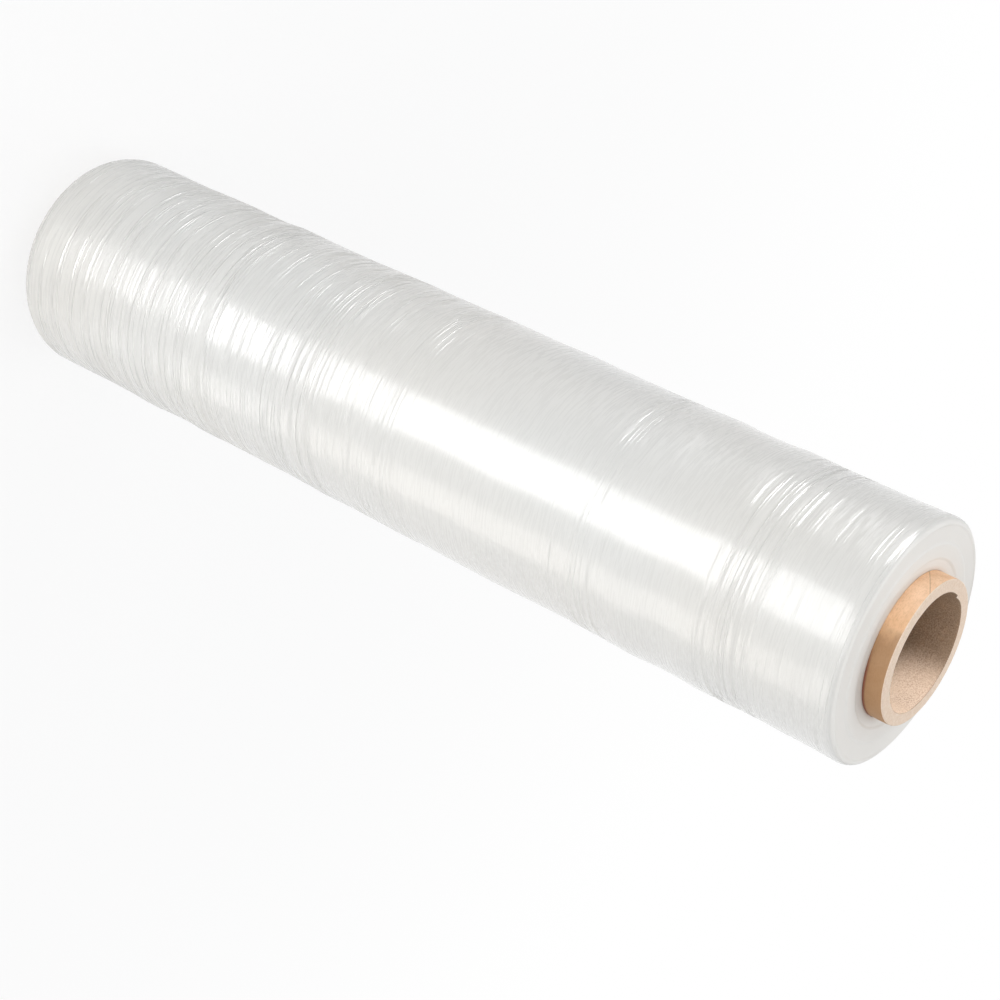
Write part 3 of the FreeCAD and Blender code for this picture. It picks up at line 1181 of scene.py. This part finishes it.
class ROLL_OT_set_stage(bpy.types.Operator):
    """Put the pale floor, the soft lamps and the camera round the roll"""

    bl_idname = "roll.set_stage"
    bl_label = "Set the stage"

    def execute(self, context):
        scene = context.scene
        half = 4.0
        ground = bpy.data.meshes.new("pale_floor")
        corners = [(-half, -half, 0), (half, -half, 0), (half, half, 0), (-half, half, 0)]
        ground.from_pydata(corners, [], [(0, 1, 2, 3)])
        floor = bpy.data.objects.new("pale_floor", ground)
        scene.collection.objects.link(floor)
        # Matt white studio board; what is seen of it is mostly plain white, and it keeps a soft shadow
        board = bpy.data.materials.new("matt_studio_board")
        board.use_nodes = True
        tree = board.node_tree
        tree.nodes.clear()
        matt = add_node(tree, "ShaderNodeBsdfDiffuse", inputs={"Color": linear("#F0F0EF")})
        white = add_node(
            tree, "ShaderNodeEmission", inputs={"Color": (1, 1, 1, 1), "Strength": 1.0}
        )
        # Near the roll the board shows a soft shadow, and further off it is as white as the room
        place = add_node(tree, "ShaderNodeTexCoord").outputs["Object"]
        away = add_node(
            tree, "ShaderNodeVectorMath", {"operation": "LENGTH"}, {0: place}
        ).outputs["Value"]
        white_share = add_node(
            tree,
            "ShaderNodeMapRange",
            {"interpolation_type": "SMOOTHSTEP"},
            {"Value": away, "From Min": 0.15, "From Max": 1.0, "To Min": 0.82, "To Max": 1.0},
        ).outputs[0]
        both = add_node(
            tree,
            "ShaderNodeMixShader",
            inputs={0: seen_share(tree, white_share), 1: matt.outputs[0], 2: white.outputs[0]},
        )
        add_node(tree, "ShaderNodeOutputMaterial", inputs={"Surface": both.outputs[0]})
        ground.materials.append(board)

        sky = bpy.data.worlds.new("pale_room")
        sky.use_nodes = True
        tree = sky.node_tree
        tree.nodes.clear()
        room = add_node(
            tree, "ShaderNodeBackground", inputs={"Color": linear("#FBFCFF"), "Strength": 0.63}
        )
        seen = add_node(
            tree, "ShaderNodeBackground", inputs={"Color": (1, 1, 1, 1), "Strength": 1.0}
        )
        both = add_node(
            tree,
            "ShaderNodeMixShader",
            inputs={0: seen_share(tree, 1.0), 1: room.outputs[0], 2: seen.outputs[0]},
        )
        add_node(tree, "ShaderNodeOutputWorld", inputs={"Surface": both.outputs[0]})
        scene.world = sky

        middle = (0.0, 0.0, 0.24)
        soft_lamp("key_softbox", (0.45, -1.5, 0.66), middle, 1.1, 1.1, 2.7, "#FFFFFF", False)
        # Strips that only show as shine on the film
        soft_lamp(
            "shine_strip", (0.028, -0.25, 0.194), (0.0, -0.052, 0.194), 0.154, 0.384, 5.0,
            "#FFFFFF", True,
        )
        soft_lamp(
            "foot_strip", (0.01, -0.105, 0.067), (0.0, -0.052, 0.067), 0.054, 0.13, 4.0,
            "#FFFFFF", True,
        )
        soft_lamp(
            "warm_strip", (0.22, -0.104, 0.194), (0.03, -0.043, 0.194), 0.112, 0.384, 1.6,
            "#FFF9F2", True,
        )
        soft_lamp(
            "warm_foot_strip", (0.087, -0.061, 0.067), (0.03, -0.043, 0.067), 0.042, 0.13, 0.9,
            "#FFFFFF", True,
        )
        soft_lamp(
            "upper_strip", (-0.5, -0.175, 0.6), (-0.03, -0.04, 0.4), 0.34, 0.5, 9.0,
            "#FFFFFF", True,
        )
        # Soft light from the left above, from the right below and from overhead, without a shine of its own
        upper_fill = soft_lamp(
            "upper_fill", (-1.15, -0.25, 1.15), middle, 0.6, 0.6, 2.0, "#FDFDFF", False
        )
        foot_fill = soft_lamp(
            "foot_fill", (0.4, -0.24, 0.07), (0.03, -0.03, 0.08), 0.3, 0.13, 1.5, "#FFFFFF", False
        )
        top_fill = soft_lamp(
            "top_fill", (-0.25, 0.7, 1.4), (0.0, 0.0, 0.47), 0.6, 0.6, 3.4, "#FFFFFF", False
        )
        for fill in (upper_fill, foot_fill, top_fill):
            fill.visible_glossy = False
        # Far to one side and low, so that only creases which lean up mirror it, as thin bright lines
        soft_lamp(
            "glint_strip", (-1.9, -0.62, 0.45), (0.0, 0.0, 0.24), 1.5, 0.9, 14.0,
            "#FFFFFF", True,
        )
        beam = bpy.data.lights.new("bore_spot", "SPOT")
        beam.energy = 0.18
        beam.color = linear("#E2EDFF")[:3]
        beam.spot_size = math.radians(83.0)
        beam.spot_blend = 0.95
        beam.shadow_soft_size = 0.002
        snoot = bpy.data.objects.new("bore_spot", beam)
        snoot.location = (-0.0195, -0.0079, 0.4715)
        snoot.visible_camera = False
        snoot.visible_glossy = False
        aim_at = Vector((0.0235, 0.0095, 0.4685)) - snoot.location
        snoot.rotation_mode = "QUATERNION"
        snoot.rotation_quaternion = aim_at.to_track_quat("-Z", "Y")
        scene.collection.objects.link(snoot)

        lens = bpy.data.cameras.new("photo_camera")
        lens.lens = 79.97
        lens.sensor_width = 36.0
        lens.clip_end = 50.0
        camera = bpy.data.objects.new("photo_camera", lens)
        stand = Vector((0.0, -0.80942, 0.76338))
        aim = Vector((0.01979, 0.0, 0.27439))
        roll_turn = math.radians(116.414)
        camera.rotation_mode = "QUATERNION"
        upright = (aim - stand).to_track_quat("-Z", "Y")
        tipped = upright.to_matrix() @ Matrix.Rotation(roll_turn, 3, "Z")
        camera.rotation_quaternion = tipped.to_quaternion()
        camera.location = stand
        scene.collection.objects.link(camera)
        scene.camera = camera
        scene.view_settings.view_transform = "Standard"
        return {"FINISHED"}


class ROLL_PT_panel(bpy.types.Panel):
    """The roll's sizes, colours and building steps"""

    bl_idname = "ROLL_PT_panel"
    bl_label = "Stretch wrap roll"
    bl_space_type = "VIEW_3D"
    bl_region_type = "UI"
    bl_category = "Wrap roll"

    def draw(self, context):
        layout = self.layout
        sizes = context.scene.roll_sizes
        for name in RollSizes.__annotations__:
            layout.prop(sizes, name)
        colours = context.scene.roll_colours
        for name in RollColours.__annotations__:
            layout.prop(colours, name)
        layout.operator(ROLL_OT_wind_film.bl_idname)
        layout.operator(ROLL_OT_make_tube.bl_idname)
        layout.operator(ROLL_OT_set_stage.bl_idname)


CLASSES = (
    RollSizes,
    RollColours,
    ROLL_OT_wind_film,
    ROLL_OT_make_tube,
    ROLL_OT_set_stage,
    ROLL_PT_panel,
)


def register():
    """Adds the roll's classes and settings."""
    for kind in CLASSES:
        bpy.utils.register_class(kind)
    bpy.types.Scene.roll_sizes = bpy.props.PointerProperty(type=RollSizes)
    bpy.types.Scene.roll_colours = bpy.props.PointerProperty(type=RollColours)


def unregister():
    """Takes the roll's classes and settings away again."""
    del bpy.types.Scene.roll_colours
    del bpy.types.Scene.roll_sizes
    for kind in reversed(CLASSES):
        bpy.utils.unregister_class(kind)


def main():
    """Builds the roll and its stage."""
    register()
    bpy.ops.roll.wind_film()
    bpy.ops.roll.make_tube()
    bpy.ops.roll.set_stage()
    bpy.context.view_layer.update()


if __name__ == "__main__":
    main()
